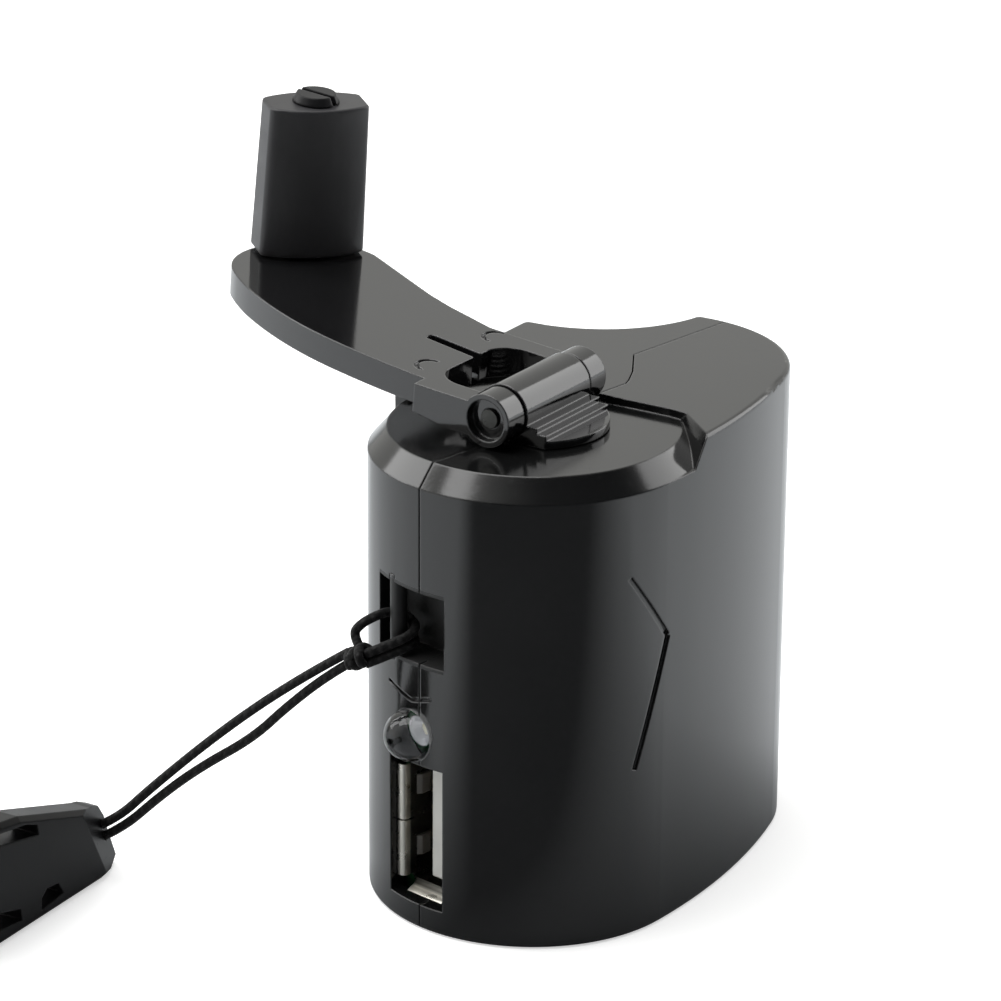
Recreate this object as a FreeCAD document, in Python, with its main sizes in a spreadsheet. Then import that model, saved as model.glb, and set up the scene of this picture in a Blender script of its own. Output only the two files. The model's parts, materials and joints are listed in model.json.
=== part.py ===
import FreeCAD, Part
import math
import os

from FreeCAD import Placement, Rotation, Vector

os.makedirs("parts", exist_ok=True)
doc = FreeCAD.newDocument("hand_crank_charger")

# Frame: origin on the crank axis at the base, +Z up the crank axis,
# +X along the body to its far end, the USB port on the -X side. Millimetres.

DIMS = [
    ("lobe_r", 15.5, "radius of the rounded end under the crank"),
    ("body_h", 47.1, "height of the housing at its plateau"),
    ("land_drop", 0.8, "flat around the crank hub, below the plateau"),
    ("wall", 1.6, "side wall thickness"),
    ("floor_t", 1.8, "floor thickness"),
    ("roof_t", 2.5, "roof thickness"),
    ("bevel_w", 1.8, "radial width of the bevel on the lobe"),
    ("bevel_drop", 2.9, "lower edge of the bevel, below the plateau"),
    ("edge_r", 0.5, "small rounding of the outer edges"),
    ("usb_y", 0.75, "centre of the USB port across"),
    ("usb_z", 9.65, "centre of the USB port in height"),
    ("usb_tall", 14.3, "port opening in height"),
    ("usb_wide", 7.0, "port opening across"),
    ("led_z", 19.5, "LED centre height"),
    ("led_y", 1.2, "LED centre across"),
    ("led_r", 2.5, "LED body radius"),
    ("crank_turn", 9.0, "crank about the shaft, degrees"),
    ("pin_rise", 2.8, "hinge pin above the flat"),
    ("pin_r", 0.9, "hinge pin radius"),
    ("ear_r", 2.55, "fork ear radius"),
    ("ear_in", 5.55, "inner face of each ear from the middle"),
    ("ear_out", 8.2, "outer face of each ear from the middle"),
    ("barrel_r", 2.7, "hub barrel radius"),
    ("barrel_half", 5.3, "hub barrel half length"),
    ("hub_r", 7.0, "hub disc radius"),
    ("hub_rise", 0.85, "top of the hub disc above the flat"),
    ("shaft_r", 3.0, "crank shaft radius"),
    ("arm_t", 2.8, "crank arm thickness"),
    ("arm_tilt", 4.8, "rise of the unfolded arm in degrees"),
    ("knob_h", 15.1, "knob length"),
    ("stud_r", 1.8, "knob stud radius"),
    ("fit", 0.07, "radial clearance of the running fits"),
    ("drive_drop", 5.4, "underside of the drive gear below the roof"),
    ("drive_w", 2.4, "face width of the drive gear"),
    ("wheel1_drop", 9.0, "underside of the first wheel below the roof"),
    ("wheel2_drop", 13.0, "underside of the second wheel below the roof"),
    ("wheel_w", 2.0, "face width of the wheels"),
    ("plate_drop", 15.2, "underside of the gear plate below the roof"),
    ("plate_t", 1.5, "gear plate thickness"),
    ("axle_r", 0.75, "gear axle radius"),
    ("can_z", 6.4, "underside of the motor can"),
    ("cord_r", 0.45, "lanyard cord radius"),
    ("led_x", -15.4, "centre of the LED dome along the body"),
    ("pocket_z", 27.0, "floor of the lanyard recess"),
    ("pocket_h", 7.0, "height of the lanyard recess"),
    ("bar_y", 3.7, "lanyard bar, across"),
    ("bar_x", -14.3, "lanyard bar, along the body"),
    ("bar_r", 0.8, "lanyard bar radius"),
    ("clip_t", 3.0, "lanyard clip thickness"),
]

sheet = doc.addObject("Spreadsheet::Sheet", "dims")
P = {}
for row, (alias, value, note) in enumerate(DIMS, start=1):
    sheet.set("A%d" % row, alias)
    sheet.set("B%d" % row, repr(value))
    sheet.set("C%d" % row, note)
    sheet.setAlias("B%d" % row, alias)
    P[alias] = value
doc.recompute()

# heights that follow from the plateau: name, what it is measured from, and the step
LEVELS = [
    ("land_z", "body_h", "-", "land_drop"),
    ("roof_z", "body_h", "-", "roof_t"),
    ("pin_z", "land_z", "+", "pin_rise"),
    ("hub_top", "land_z", "+", "hub_rise"),
    ("drive_z", "roof_z", "-", "drive_drop"),
    ("wheel1_z", "roof_z", "-", "wheel1_drop"),
    ("wheel2_z", "roof_z", "-", "wheel2_drop"),
    ("plate_z", "roof_z", "-", "plate_drop"),
]
FORMULA = {}
for name, base, sign, step in LEVELS:
    FORMULA["$" + name] = "(%s %s $%s)" % (FORMULA.get("$" + base, "$" + base), sign, step)
    P[name] = P[base] + P[step] if sign == "+" else P[base] - P[step]

# plain values that shape the profiles
FRONT_R = 70.0
FRONT_ANGLE = -86.0
END_R = 14.5
END_C = (19.0, 3.8)
SCALLOP_R = 12.9
SCALLOP_C = (32.86, 21.1)
BACK_ANGLE = 100.5
SEAM = [(12.7, 0.0), (13.6, 0.45), (15.7, 1.8), (19.4, 4.9)]
MODULE = 0.5
TEETH = {"drive": 44, "pinion_1": 12, "wheel_1": 36, "pinion_2": 12, "wheel_2": 36, "motor": 10}
KNOB_AT = (12.7, 35.5)
KNOB_TURN = -38.0


def on_sheet(text):
    """A size written with $names, as an expression on the sheet."""
    for name, formula in FORMULA.items():
        text = text.replace(name, formula)
    return text.replace("$", "dims.")


def put(obj, prop, value):
    """Set a property, as an expression on the sheet where the value is text."""
    if isinstance(value, str):
        obj.setExpression(prop, on_sheet(value))
    elif prop.startswith("Placement.Base."):
        base = obj.Placement.Base
        setattr(base, prop[-1], value)
        obj.Placement = Placement(base, obj.Placement.Rotation)
    else:
        setattr(obj, prop, value)


def place(obj, x, y, z):
    for letter, value in zip("xyz", (x, y, z)):
        put(obj, "Placement.Base." + letter, value)


def box(name, x, y, z, lx, ly, lz):
    obj = doc.addObject("Part::Box", name)
    put(obj, "Length", lx)
    put(obj, "Width", ly)
    put(obj, "Height", lz)
    place(obj, x, y, z)
    return obj


# turns a sketch into the YZ plane, its X along the body's Y
ACROSS = Rotation(Vector(0, 1, 0), Vector(0, 0, 1), Vector(1, 0, 0), "XYZ")
TURN = {
    "z": Rotation(),
    "x": Rotation(Vector(0, 1, 0), 90),
    "y": Rotation(Vector(1, 0, 0), -90),
}


def cyl(name, axis, x, y, z, r, h):
    obj = doc.addObject("Part::Cylinder", name)
    put(obj, "Radius", r)
    put(obj, "Height", h)
    obj.Placement = Placement(Vector(0, 0, 0), TURN[axis])
    place(obj, x, y, z)
    return obj


def ball(name, x, y, z, r):
    obj = doc.addObject("Part::Sphere", name)
    put(obj, "Radius", r)
    place(obj, x, y, z)
    return obj


def fuse(name, shapes):
    obj = doc.addObject("Part::MultiFuse", name)
    obj.Shapes = shapes
    obj.Refine = True
    return obj


def cut(name, base, tool):
    if isinstance(tool, list):
        tool = fuse(name + "_tool", tool) if len(tool) > 1 else tool[0]
    obj = doc.addObject("Part::Cut", name)
    obj.Base = base
    obj.Tool = tool
    obj.Refine = True
    return obj


def common(name, base, tool):
    obj = doc.addObject("Part::Common", name)
    obj.Base = base
    obj.Tool = tool
    obj.Refine = True
    return obj


def group(name, shapes):
    """Separate solids that share one node."""
    obj = doc.addObject("Part::Compound", name)
    obj.Links = shapes
    return obj


def profile(name, start, segments):
    """A closed sketch: ('L', end) is a line, ('A', through, end) an arc."""
    sketch = doc.addObject("Sketcher::SketchObject", name)
    here = Vector(start[0], start[1], 0)
    for seg in segments:
        end = Vector(seg[-1][0], seg[-1][1], 0)
        if seg[0] == "L":
            sketch.addGeometry(Part.LineSegment(here, end), False)
        else:
            mid = Vector(seg[1][0], seg[1][1], 0)
            sketch.addGeometry(Part.Arc(here, mid, end), False)
        here = end
    return sketch


def poly(name, points):
    return profile(name, points[0], [("L", p) for p in points[1:] + points[:1]])


def extrude(name, sketch, length, direction=(0, 0, 1)):
    obj = doc.addObject("Part::Extrusion", name)
    obj.Base = sketch
    obj.DirMode = "Custom"
    obj.Dir = Vector(*direction)
    put(obj, "LengthFwd", length)
    obj.Solid = True
    return obj


def prism(name, start, segments, z, h):
    sketch = profile(name + "_sketch", start, segments)
    put(sketch, "Placement.Base.z", z)
    return extrude(name, sketch, h)


def polyprism(name, points, z, h):
    return prism(name, points[0], [("L", p) for p in points[1:] + points[:1]], z, h)


def tube(name, points, r):
    """A bent wire of round section through the points."""
    bits = []
    for i, (a, b) in enumerate(zip(points[:-1], points[1:])):
        a, b = Vector(*a), Vector(*b)
        run = doc.addObject("Part::Cylinder", "%s_run%d" % (name, i))
        put(run, "Radius", r)
        run.Height = (b - a).Length
        run.Placement = Placement(a, Rotation(Vector(0, 0, 1), b - a))
        bits.append(run)
        if i:
            bits.append(ball("%s_bend%d" % (name, i), a.x, a.y, a.z, r))
    return fuse(name, bits)


# ---------------------------------------------------------------- outline
def unit(a):
    return (math.cos(math.radians(a)), math.sin(math.radians(a)))


def meet(c1, r1, c2, r2, near):
    """The crossing of two circles that lies nearest a point."""
    dx, dy = c2[0] - c1[0], c2[1] - c1[1]
    d = math.hypot(dx, dy)
    a = (r1 * r1 - r2 * r2 + d * d) / (2 * d)
    h = math.sqrt(max(r1 * r1 - a * a, 0))
    base = (c1[0] + a * dx / d, c1[1] + a * dy / d)
    both = [(base[0] + s * h * -dy / d, base[1] + s * h * dx / d) for s in (1, -1)]
    return min(both, key=lambda p: math.hypot(p[0] - near[0], p[1] - near[1]))


def line_meet(p, u, c, r, near):
    """The crossing of a line and a circle that lies nearest a point."""
    fx, fy = p[0] - c[0], p[1] - c[1]
    b = fx * u[0] + fy * u[1]
    q = math.sqrt(b * b - (fx * fx + fy * fy - r * r))
    both = [(p[0] + t * u[0], p[1] + t * u[1]) for t in (-b - q, -b + q)]
    return min(both, key=lambda m: math.hypot(m[0] - near[0], m[1] - near[1]))


def arc_mid(c, r, a, b, way):
    """A point halfway along the arc from a to b, turning the given way."""
    t0 = math.atan2(a[1] - c[1], a[0] - c[0])
    t1 = math.atan2(b[1] - c[1], b[0] - c[0])
    while way > 0 and t1 < t0:
        t1 += 2 * math.pi
    while way < 0 and t1 > t0:
        t1 -= 2 * math.pi
    t = (t0 + t1) / 2
    return (c[0] + r * math.cos(t), c[1] + r * math.sin(t))


def outline(inset):
    """The body's plan, moved inwards by the inset."""
    lobe = P["lobe_r"]
    k = unit(FRONT_ANGLE)
    front_c = (-(FRONT_R - lobe) * k[0], -(FRONT_R - lobe) * k[1])
    ex, ey = END_C[0] - front_c[0], END_C[1] - front_c[1]
    scale = (FRONT_R - END_R) / math.hypot(ex, ey)
    end_c = (front_c[0] + ex * scale, front_c[1] + ey * scale)
    reach = FRONT_R - inset
    away = (ex / math.hypot(ex, ey), ey / math.hypot(ex, ey))
    p3 = (front_c[0] + reach * away[0], front_c[1] + reach * away[1])
    b = unit(BACK_ANGLE)
    p0 = ((lobe - inset) * b[0], (lobe - inset) * b[1])
    along = (b[1], -b[0])
    p1 = line_meet(p0, along, SCALLOP_C, SCALLOP_R + inset, (20, 19))
    p2 = meet(SCALLOP_C, SCALLOP_R + inset, end_c, END_R - inset, (33, 8))
    p4 = ((lobe - inset) * k[0], (lobe - inset) * k[1])
    segments = [
        ("L", p1),
        ("A", arc_mid(SCALLOP_C, SCALLOP_R + inset, p1, p2, 1), p2),
        ("A", arc_mid(end_c, END_R - inset, p2, p3, -1), p3),
        ("A", arc_mid(front_c, reach, p3, p4, -1), p4),
        ("A", (-(lobe - inset), 0), p0),
    ]
    return p0, segments


def body_prism(name, inset, z, h):
    start, segments = outline(inset)
    return prism(name, start, segments, z, h)


# ---------------------------------------------------------------- housing
blank = body_prism("blank", 0.0, 0, "$body_h")
doc.recompute()


def edges_where(shape, test):
    return [i for i, e in enumerate(shape.Edges, start=1) if test(e)]


def upright(e):
    a, b = e.Vertexes[0].Point, e.Vertexes[-1].Point
    return abs(a.z - b.z) > 40 and a.x > 18


corners = edges_where(blank.Shape, upright)
rounded = doc.addObject("Part::Fillet", "rounded")
rounded.Base = blank
rounded.Edges = [(i, 0.9, 0.9) for i in corners]
doc.recompute()
rims = edges_where(rounded.Shape, lambda e: max(v.Z for v in e.Vertexes) - min(v.Z for v in e.Vertexes) < 0.01)
outer = doc.addObject("Part::Fillet", "outer")
outer.Base = rounded
outer.Edges = [(i, P["edge_r"], P["edge_r"]) for i in rims]

# bevel round the lobe, ending in a crease at the front right
top = P["body_h"]
low = top - P["bevel_drop"]
r_in = P["lobe_r"] - P["bevel_w"]
r_out = P["lobe_r"] + 6
ring = poly("bevel_profile", [
    (r_in, P["land_z"]), (P["lobe_r"], low), (r_out, low), (r_out, top + 2), (r_in, top + 2)])
ring.Placement = Placement(Vector(0, 0, 0), Rotation(Vector(1, 0, 0), 90))
bevel_ring = doc.addObject("Part::Revolution", "bevel_ring")
bevel_ring.Source = ring
bevel_ring.Axis = Vector(0, 0, 1)
bevel_ring.Angle = 360
bevel_ring.Solid = True
keep_right = polyprism(
    "bevel_stop",
    [(10.4, -9.6), (7.7, -14.2), (5.5, -18), (45, -18), (45, 30), (-2.8, 30), (-2.8, 9), (9.0, 4.0)],
    "$land_z - 6.3", 12)
STOP_A = Vector(10.4, -9.6, 0)
STOP_B = Vector(5.5, -18.0, 0)
stop_run = (STOP_B - STOP_A).normalize()
stop_out = Vector(stop_run.y, -stop_run.x, 0)
RAMP = 1.6
ramp_view = poly("ramp_view", [(-1, top), (0, top), (RAMP, low), (RAMP, low - 1), (-1, low - 1)])
ramp_view.Placement = Placement(STOP_B, Rotation(stop_out, Vector(0, 0, 1), stop_run * -1, "XYZ"))
ramp = extrude("ramp", ramp_view, (STOP_A - STOP_B).Length + 0.6, tuple(stop_run * -1))
bevel_cut = cut("bevel_cut", bevel_ring, [keep_right, ramp])

# the flat round the hub: a disc at the rear, up to the step line at the front
land_disc = cyl("land_disc", "z", 0, 0, "$land_z", "$lobe_r - $bevel_w", 3)
STEP_LINE = [(8.9, 0.0), (9.15, -1.85), (9.7, -4.45), (10.3, -7.64), (10.4, -9.6), (7.7, -14.2)]
land_left = polyprism("land_left", STEP_LINE + [(-18, -18), (-18, 18), (8.9, 18)], "$land_z - 1", 5)
land_rear = common("land_rear", land_disc, land_left)
front_only = box("land_front_zone", -20, -20, "$land_z", 40, 20, 3)
land_front_shape = polyprism(
    "land_front_shape", STEP_LINE + [(5.5, -18), (-18, -18), (-18, 0)], "$land_z - 1", 5)
land_front = cut("land_front", common("land_front_block", front_only, land_front_shape), ramp)

# cavity, with the lanyard pocket's walls, bosses and ledges left standing
hollow = body_prism("hollow", P["wall"], "$floor_t", "$roof_z - $floor_t")
pocket_wall = box("pocket_wall", -18, -4.2, "$pocket_z - 1.3", 7.5, 11.8, "$pocket_h + 2.6")
END_SCREW_X = 27.3
LOBE_SCREW_X = -6.0
screw_at = [
    (END_SCREW_X, 7.2),
    (END_SCREW_X, P["body_h"] - 6.9),
    (LOBE_SCREW_X, P["plate_z"] - 3.9),
]
bosses = []
for i, (sx, sz) in enumerate(screw_at):
    bosses.append(cyl("screw_boss_%d" % i, "y", sx, -16, sz, 2.3, 34))


def meshed(at, teeth_a, teeth_b, angle):
    """The centre of gear b, in mesh with gear a, in the given direction."""
    apart = MODULE * (TEETH[teeth_a] + TEETH[teeth_b]) / 2
    return (at[0] + apart * unit(angle)[0], at[1] + apart * unit(angle)[1])


C1 = meshed((0.0, 0.0), "drive", "pinion_1", 20)
C2 = meshed(C1, "wheel_1", "pinion_2", 215)
M = meshed(C2, "wheel_2", "motor", 12)
LEDGE = 2.8
ledge_front = box("ledge_front", 0.5, -18, "$plate_z - %s" % LEDGE, 8, 7.4, LEDGE)
ledge_rear = box("ledge_rear", -2, 11.6, "$plate_z - %s" % LEDGE, 13, 10, LEDGE)
ledge_end = box("ledge_end", 25.6, -12, "$plate_z - %s" % LEDGE, 10, 12, LEDGE)
axle_boss = cyl("axle_boss", "z", C1[0], C1[1], "$roof_z - 2.3", 2.0, 3)
motor_pad = box("motor_pad", M[0] - 2.5, -6.0, "$floor_t - 0.8", 5.0, 6.0, "$can_z - $floor_t - 1.2")
standing = fuse("standing", [pocket_wall, ledge_front, ledge_rear, ledge_end, axle_boss, motor_pad] + bosses)
cavity = cut("cavity", hollow, standing)

# openings through the wall
usb_hole = box("usb_hole", -18, "$usb_y - $usb_wide / 2", "$usb_z - $usb_tall / 2", 5.2, "$usb_wide", "$usb_tall")
led_hole = cyl("led_hole", "x", -18, "$led_y", "$led_z", "$led_r", 6)
pocket = box("pocket", -18, -2.9, "$pocket_z", 6.3, 9.1, "$pocket_h")
bar_hole = cyl("bar_hole", "z", "$bar_x", "$bar_y", "$pocket_z - 0.7", "$bar_r", "$pocket_h + 1.4")
bush_hole = cyl("bush_hole", "z", 0, 0, "$roof_z - 4.6", "$shaft_r + 1.6", 10)
axle_hole = cyl("axle_hole", "z", C1[0], C1[1], "$roof_z - 4.6", "$axle_r", 4.2)
SEAM_END = SEAM[-1][1]


def screw_levels(sx):
    """Seam, head seat and tip of a screw, across the body."""
    if sx == END_SCREW_X:
        return SEAM_END, 6.5, -1.5
    return 0.0, 9.0, -7.5


cores = []
for i, (sx, sz) in enumerate(screw_at):
    seam_y, seat, end = screw_levels(sx)
    cores.append(cyl("screw_pilot_%d" % i, "y", sx, end, sz, 0.9, seam_y - end))
    cores.append(cyl("screw_clear_%d" % i, "y", sx, seam_y, sz, 1.1, seat - seam_y + 0.5))
    cores.append(cyl("screw_bore_%d" % i, "y", sx, seat, sz, 2.0, 12))
openings = fuse("openings", [usb_hole, led_hole, pocket, bar_hole, bush_hole, axle_hole] + cores)

# moulded creases: a chevron on the front, a small V above the lamp
skin_core = body_prism("skin_core", 0.3, -1, 60)


def leg(name, a, b, width):
    """A thin upright strip from a to b in the XZ plane, pushed through the front wall."""
    dx, dz = b[0] - a[0], b[1] - a[1]
    d = math.hypot(dx, dz)
    nx, nz = -dz / d * width / 2, dx / d * width / 2
    pts = [
        (a[0] + nx, a[1] + nz), (b[0] + nx * 1.4, b[1] + nz * 1.4),
        (b[0] - nx * 1.4, b[1] - nz * 1.4), (a[0] - nx, a[1] - nz)]
    sketch = poly(name + "_sketch", pts)
    sketch.Placement = Placement(Vector(0, -10, 0), Rotation(Vector(1, 0, 0), 90))
    return extrude(name, sketch, 8, (0, -1, 0))


chev_a = leg("chevron_upper", (-3.5, 36.1), (1.45, 29.2), 0.45)
chev_b = leg("chevron_lower", (-2.7, 16.9), (1.45, 29.2), 0.6)
chevron = cut("chevron", fuse("chevron_legs", [chev_a, chev_b]), skin_core)


def mark(name, a, b, width):
    """The same on the port side, in the YZ plane."""
    dy, dz = b[0] - a[0], b[1] - a[1]
    d = math.hypot(dy, dz)
    ny, nz = -dz / d * width / 2, dy / d * width / 2
    pts = [
        (a[0] + ny, a[1] + nz), (b[0] + ny, b[1] + nz),
        (b[0] - ny, b[1] - nz), (a[0] - ny, a[1] - nz)]
    sketch = poly(name + "_sketch", pts)
    sketch.Placement = Placement(Vector(-20, 0, 0), ACROSS)
    return extrude(name, sketch, 9, (1, 0, 0))


vee = cut("vee", fuse("vee_legs", [
    mark("vee_left", (4.4, 24.0), (1.0, 23.1), 0.35),
    mark("vee_right", (1.0, 23.1), (-1.4, 23.8), 0.35)]), skin_core)

case = cut("case", outer, [bevel_cut, land_rear, land_front, cavity, openings, chevron, vee])

# the two halves part on the seam, with a fine groove left along its outer edge
seam_zone = [(-40, 0)] + SEAM + [(45, SEAM_END), (45, -40), (-40, -40)]
front_zone = polyprism("front_zone", seam_zone, -5, 70)
GROOVE = 0.14
groove_side = [(x + 0.6 * GROOVE, y - 0.8 * GROOVE) for x, y in SEAM[1:]]
groove_zone = [(-40, -GROOVE), (SEAM[0][0], -GROOVE)] + groove_side
groove_zone += [(45, SEAM_END - GROOVE), (45, SEAM_END)] + SEAM[::-1] + [(-40, 0)]
groove_slab = polyprism("groove_slab", groove_zone, -5, 70)
groove_core = body_prism("groove_core", P["wall"] - 0.55, 0.9, P["roof_z"] + 0.8 - 0.9)
groove = cut("groove", groove_slab, groove_core)
front_half = common("front_half", case, front_zone)
front_shell = cut("front_shell", front_half, groove)
rear_shell = cut("rear_shell", case, front_zone)

nodes = {"front_shell": front_shell, "rear_shell": rear_shell}

# screws from the rear, heads in the deep bores
screws = []
for i, (sx, sz) in enumerate(screw_at):
    seam_y, seat, end = screw_levels(sx)
    head = cyl("screw_head_%d" % i, "y", sx, seat, sz, 1.8, 1.3)
    shank = cyl("screw_shank_%d" % i, "y", sx, end, sz, 0.9, seat - end + 0.2)
    drive = [
        box("screw_slot_a_%d" % i, sx - 1.0, seat + 0.7, sz - 0.2, 2.0, 1.0, 0.4),
        box("screw_slot_b_%d" % i, sx - 0.2, seat + 0.7, sz - 1.0, 0.4, 1.0, 2.0),
    ]
    screws.append(cut("screw_%d" % i, fuse("screw_body_%d" % i, [head, shank]), drive))
nodes["housing_screws"] = group("housing_screws", screws)

# ---------------------------------------------------------------- crank
bush_tube = cyl("bush_tube", "z", 0, 0, "$land_z - 4.4", "$shaft_r + 1.6", 4.4)
bush_flange = cyl("bush_flange", "z", 0, 0, "$roof_z - 1.2", "$shaft_r + 3.4", 1.2)
bush_bore = cyl("bush_bore", "z", 0, 0, "$roof_z - 4.6", "$shaft_r + $fit", 10)
nodes["shaft_bush"] = cut("shaft_bush", fuse("bush_body", [bush_tube, bush_flange]), bush_bore)

hub_disc = cyl("hub_disc", "z", 0, 0, "$land_z + 0.1", "$hub_r", "$hub_top - $land_z - 0.1")
ear_room = [
    box("ear_room_near", -9, -9, "$land_z - 0.3", "9 - $barrel_half", 18, 3),
    box("ear_room_far", "$barrel_half", -9, "$land_z - 0.3", 6, 18, 3),
]
hub_plate = cut("hub_plate", hub_disc, ear_room)
step_low = box("hub_step_low", "-$barrel_half", -4.7, "$hub_top - 0.2", "2 * $barrel_half", 8.8, 0.75)
step_high = box("hub_step_high", "-$barrel_half", -3.7, "$hub_top - 0.2", "2 * $barrel_half", 6.8, 1.3)
barrel = cyl("hub_barrel", "x", "-$barrel_half", 0, "$pin_z", "$barrel_r", "2 * $barrel_half")
shaft = cyl("hub_shaft", "z", 0, 0, "$drive_z - 0.85", "$shaft_r", "$hub_top - $drive_z + 0.65")
hub_solid = fuse("hub_solid", [hub_plate, step_low, step_high, barrel, shaft])
hub_under = box("hub_under", -8, -8, "$land_z - 1", 16, 16, 1.1)
hub_under_core = cyl("hub_under_core", "z", 0, 0, "$land_z - 1.3", "$shaft_r", 3)
hub_bore = cyl("hub_bore", "x", -9, 0, "$pin_z", "$pin_r + $fit", 18)
ring_z = "$drive_z - 0.65"
ring_groove = cut(
    "ring_groove",
    cyl("groove_outer", "z", 0, 0, ring_z, 5, 0.6),
    cyl("groove_inner", "z", 0, 0, "$drive_z - 1.2", "$shaft_r - 0.5", 2))
hub_trim = cut("hub_trim", hub_under, hub_under_core)
nodes["crank_hub"] = cut("crank_hub", hub_solid, [hub_trim, hub_bore, ring_groove])
nodes["crank_hub"].Placement = Placement(Vector(0, 0, 0), Rotation(Vector(0, 0, 1), P["crank_turn"]))
nodes["crank_hub"].setExpression("Placement.Rotation.Angle", on_sheet("$crank_turn"))

snap_ring = cut(
    "snap_ring",
    cyl("ring_outer", "z", 0, 0, ring_z, "$shaft_r + 1.2", 0.6),
    cyl("ring_inner", "z", 0, 0, "$drive_z - 1.2", "$shaft_r - 0.5", 2))
nodes["shaft_clip"] = cut("shaft_clip", snap_ring, box("ring_gap", 1.0, -1.6, "$drive_z - 1.2", 5, 3.2, 2))


def involute(a):
    return math.tan(a) - a


def gear_points(teeth, phase):
    """Tooth outline: involute flanks, trimmed tips, a little backlash."""
    rp = teeth * MODULE / 2
    rb = rp * math.cos(math.radians(20))
    ro = rp + 0.85 * MODULE
    rf = rp - 1.15 * MODULE
    half = math.pi / (2 * teeth) - 0.055 / rp
    inv20 = involute(math.radians(20))

    def width(r):
        if r <= rb:
            return half + inv20
        return half + inv20 - involute(math.acos(rb / r))

    radii = [rf, max(rb, rf + 0.05), rp, ro]
    out = []
    for i in range(teeth):
        mid = phase + 2 * math.pi * i / teeth
        for r in radii:
            out.append((r * math.cos(mid - width(r)), r * math.sin(mid - width(r))))
        for r in radii[::-1]:
            out.append((r * math.cos(mid + width(r)), r * math.sin(mid + width(r))))
    return out


def gear(name, teeth, phase, at, z, h):
    pts = [(x + at[0], y + at[1]) for x, y in gear_points(teeth, phase)]
    return polyprism(name, pts, z, h)


def mate_phase(teeth_a, phase_a, teeth_b, direction):
    """The phase that puts gear b in mesh with gear a; direction points from a to b."""
    u = (direction - phase_a) / (2 * math.pi / teeth_a)
    u -= math.floor(u)
    pitch_b = 2 * math.pi / teeth_b
    return direction + math.pi + u * pitch_b + pitch_b / 2


def heading(a, b):
    return math.atan2(b[1] - a[1], b[0] - a[0])


O = (0.0, 0.0)
ph_drive = 0.0
ph_p1 = mate_phase(TEETH["drive"], ph_drive, TEETH["pinion_1"], heading(O, C1))
ph_w1 = 0.0
ph_p2 = mate_phase(TEETH["wheel_1"], ph_w1, TEETH["pinion_2"], heading(C1, C2))
ph_w2 = 0.0
ph_m = mate_phase(TEETH["wheel_2"], ph_w2, TEETH["motor"], heading(C2, M))

drive_blank = gear("drive_teeth", TEETH["drive"], ph_drive, O, "$drive_z", "$drive_w")
drive_low = "$drive_z - 1.2"
drive_web = cut(
    "drive_web",
    cyl("drive_web_outer", "z", 0, 0, "$drive_z + 1.7", 9.4, "$drive_w"),
    cyl("drive_web_inner", "z", 0, 0, drive_low, 5.2, 8))
lighten = []
for i in range(6):
    hx, hy = unit(60 * i + 30)
    lighten.append(cyl("drive_hole_%d" % i, "z", 7.2 * hx, 7.2 * hy, drive_low, 1.3, 8))
drive_bore = cyl("drive_bore", "z", 0, 0, drive_low, "$shaft_r", 8)
nodes["drive_gear"] = cut("drive_gear", drive_blank, [drive_bore, drive_web] + lighten)

g1_hub = cyl("gear_1_hub", "z", C1[0], C1[1], "$plate_z + $plate_t + 0.1", 1.3, "$wheel1_z - $plate_z - $plate_t")
g1_wheel = gear("wheel_1", TEETH["wheel_1"], ph_w1, C1, "$wheel1_z", "$wheel_w")
g1_pinion = gear("pinion_1", TEETH["pinion_1"], ph_p1, C1, 
    "$wheel1_z + $wheel_w - 0.1", "$drive_z + $drive_w + 0.5 - $wheel1_z - $wheel_w")
g1_bore = cyl("gear_1_bore", "z", C1[0], C1[1], "$plate_z + 0.6", "$axle_r + $fit", "$drive_z - $plate_z + 5")
nodes["compound_gear_1"] = cut("compound_gear_1", fuse("gear_1_solid", [g1_hub, g1_wheel, g1_pinion]), g1_bore)

g2_hub = cyl("gear_2_hub", "z", C2[0], C2[1], "$plate_z + $plate_t + 0.1", 1.6, "$wheel2_z - $plate_z - $plate_t")
g2_wheel = gear("wheel_2", TEETH["wheel_2"], ph_w2, C2, "$wheel2_z", "$wheel_w + 0.2")
g2_pinion = gear("pinion_2", TEETH["pinion_2"], ph_p2, C2, "$wheel2_z + $wheel_w", "$wheel1_z - $wheel2_z + 0.2")
g2_bore = cyl("gear_2_bore", "z", C2[0], C2[1], "$plate_z + 0.6", "$axle_r + $fit", "$wheel1_z - $plate_z + 4")
nodes["compound_gear_2"] = cut("compound_gear_2", fuse("gear_2_solid", [g2_hub, g2_wheel, g2_pinion]), g2_bore)

nodes["gear_axles"] = group("gear_axles", [
    cyl("axle_1", "z", C1[0], C1[1], "$plate_z", "$axle_r", "$roof_z - 0.4 - $plate_z"),
    cyl("axle_2", "z", C2[0], C2[1], "$plate_z", "$axle_r", "$wheel1_z + 2.4 - $plate_z")])

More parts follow.
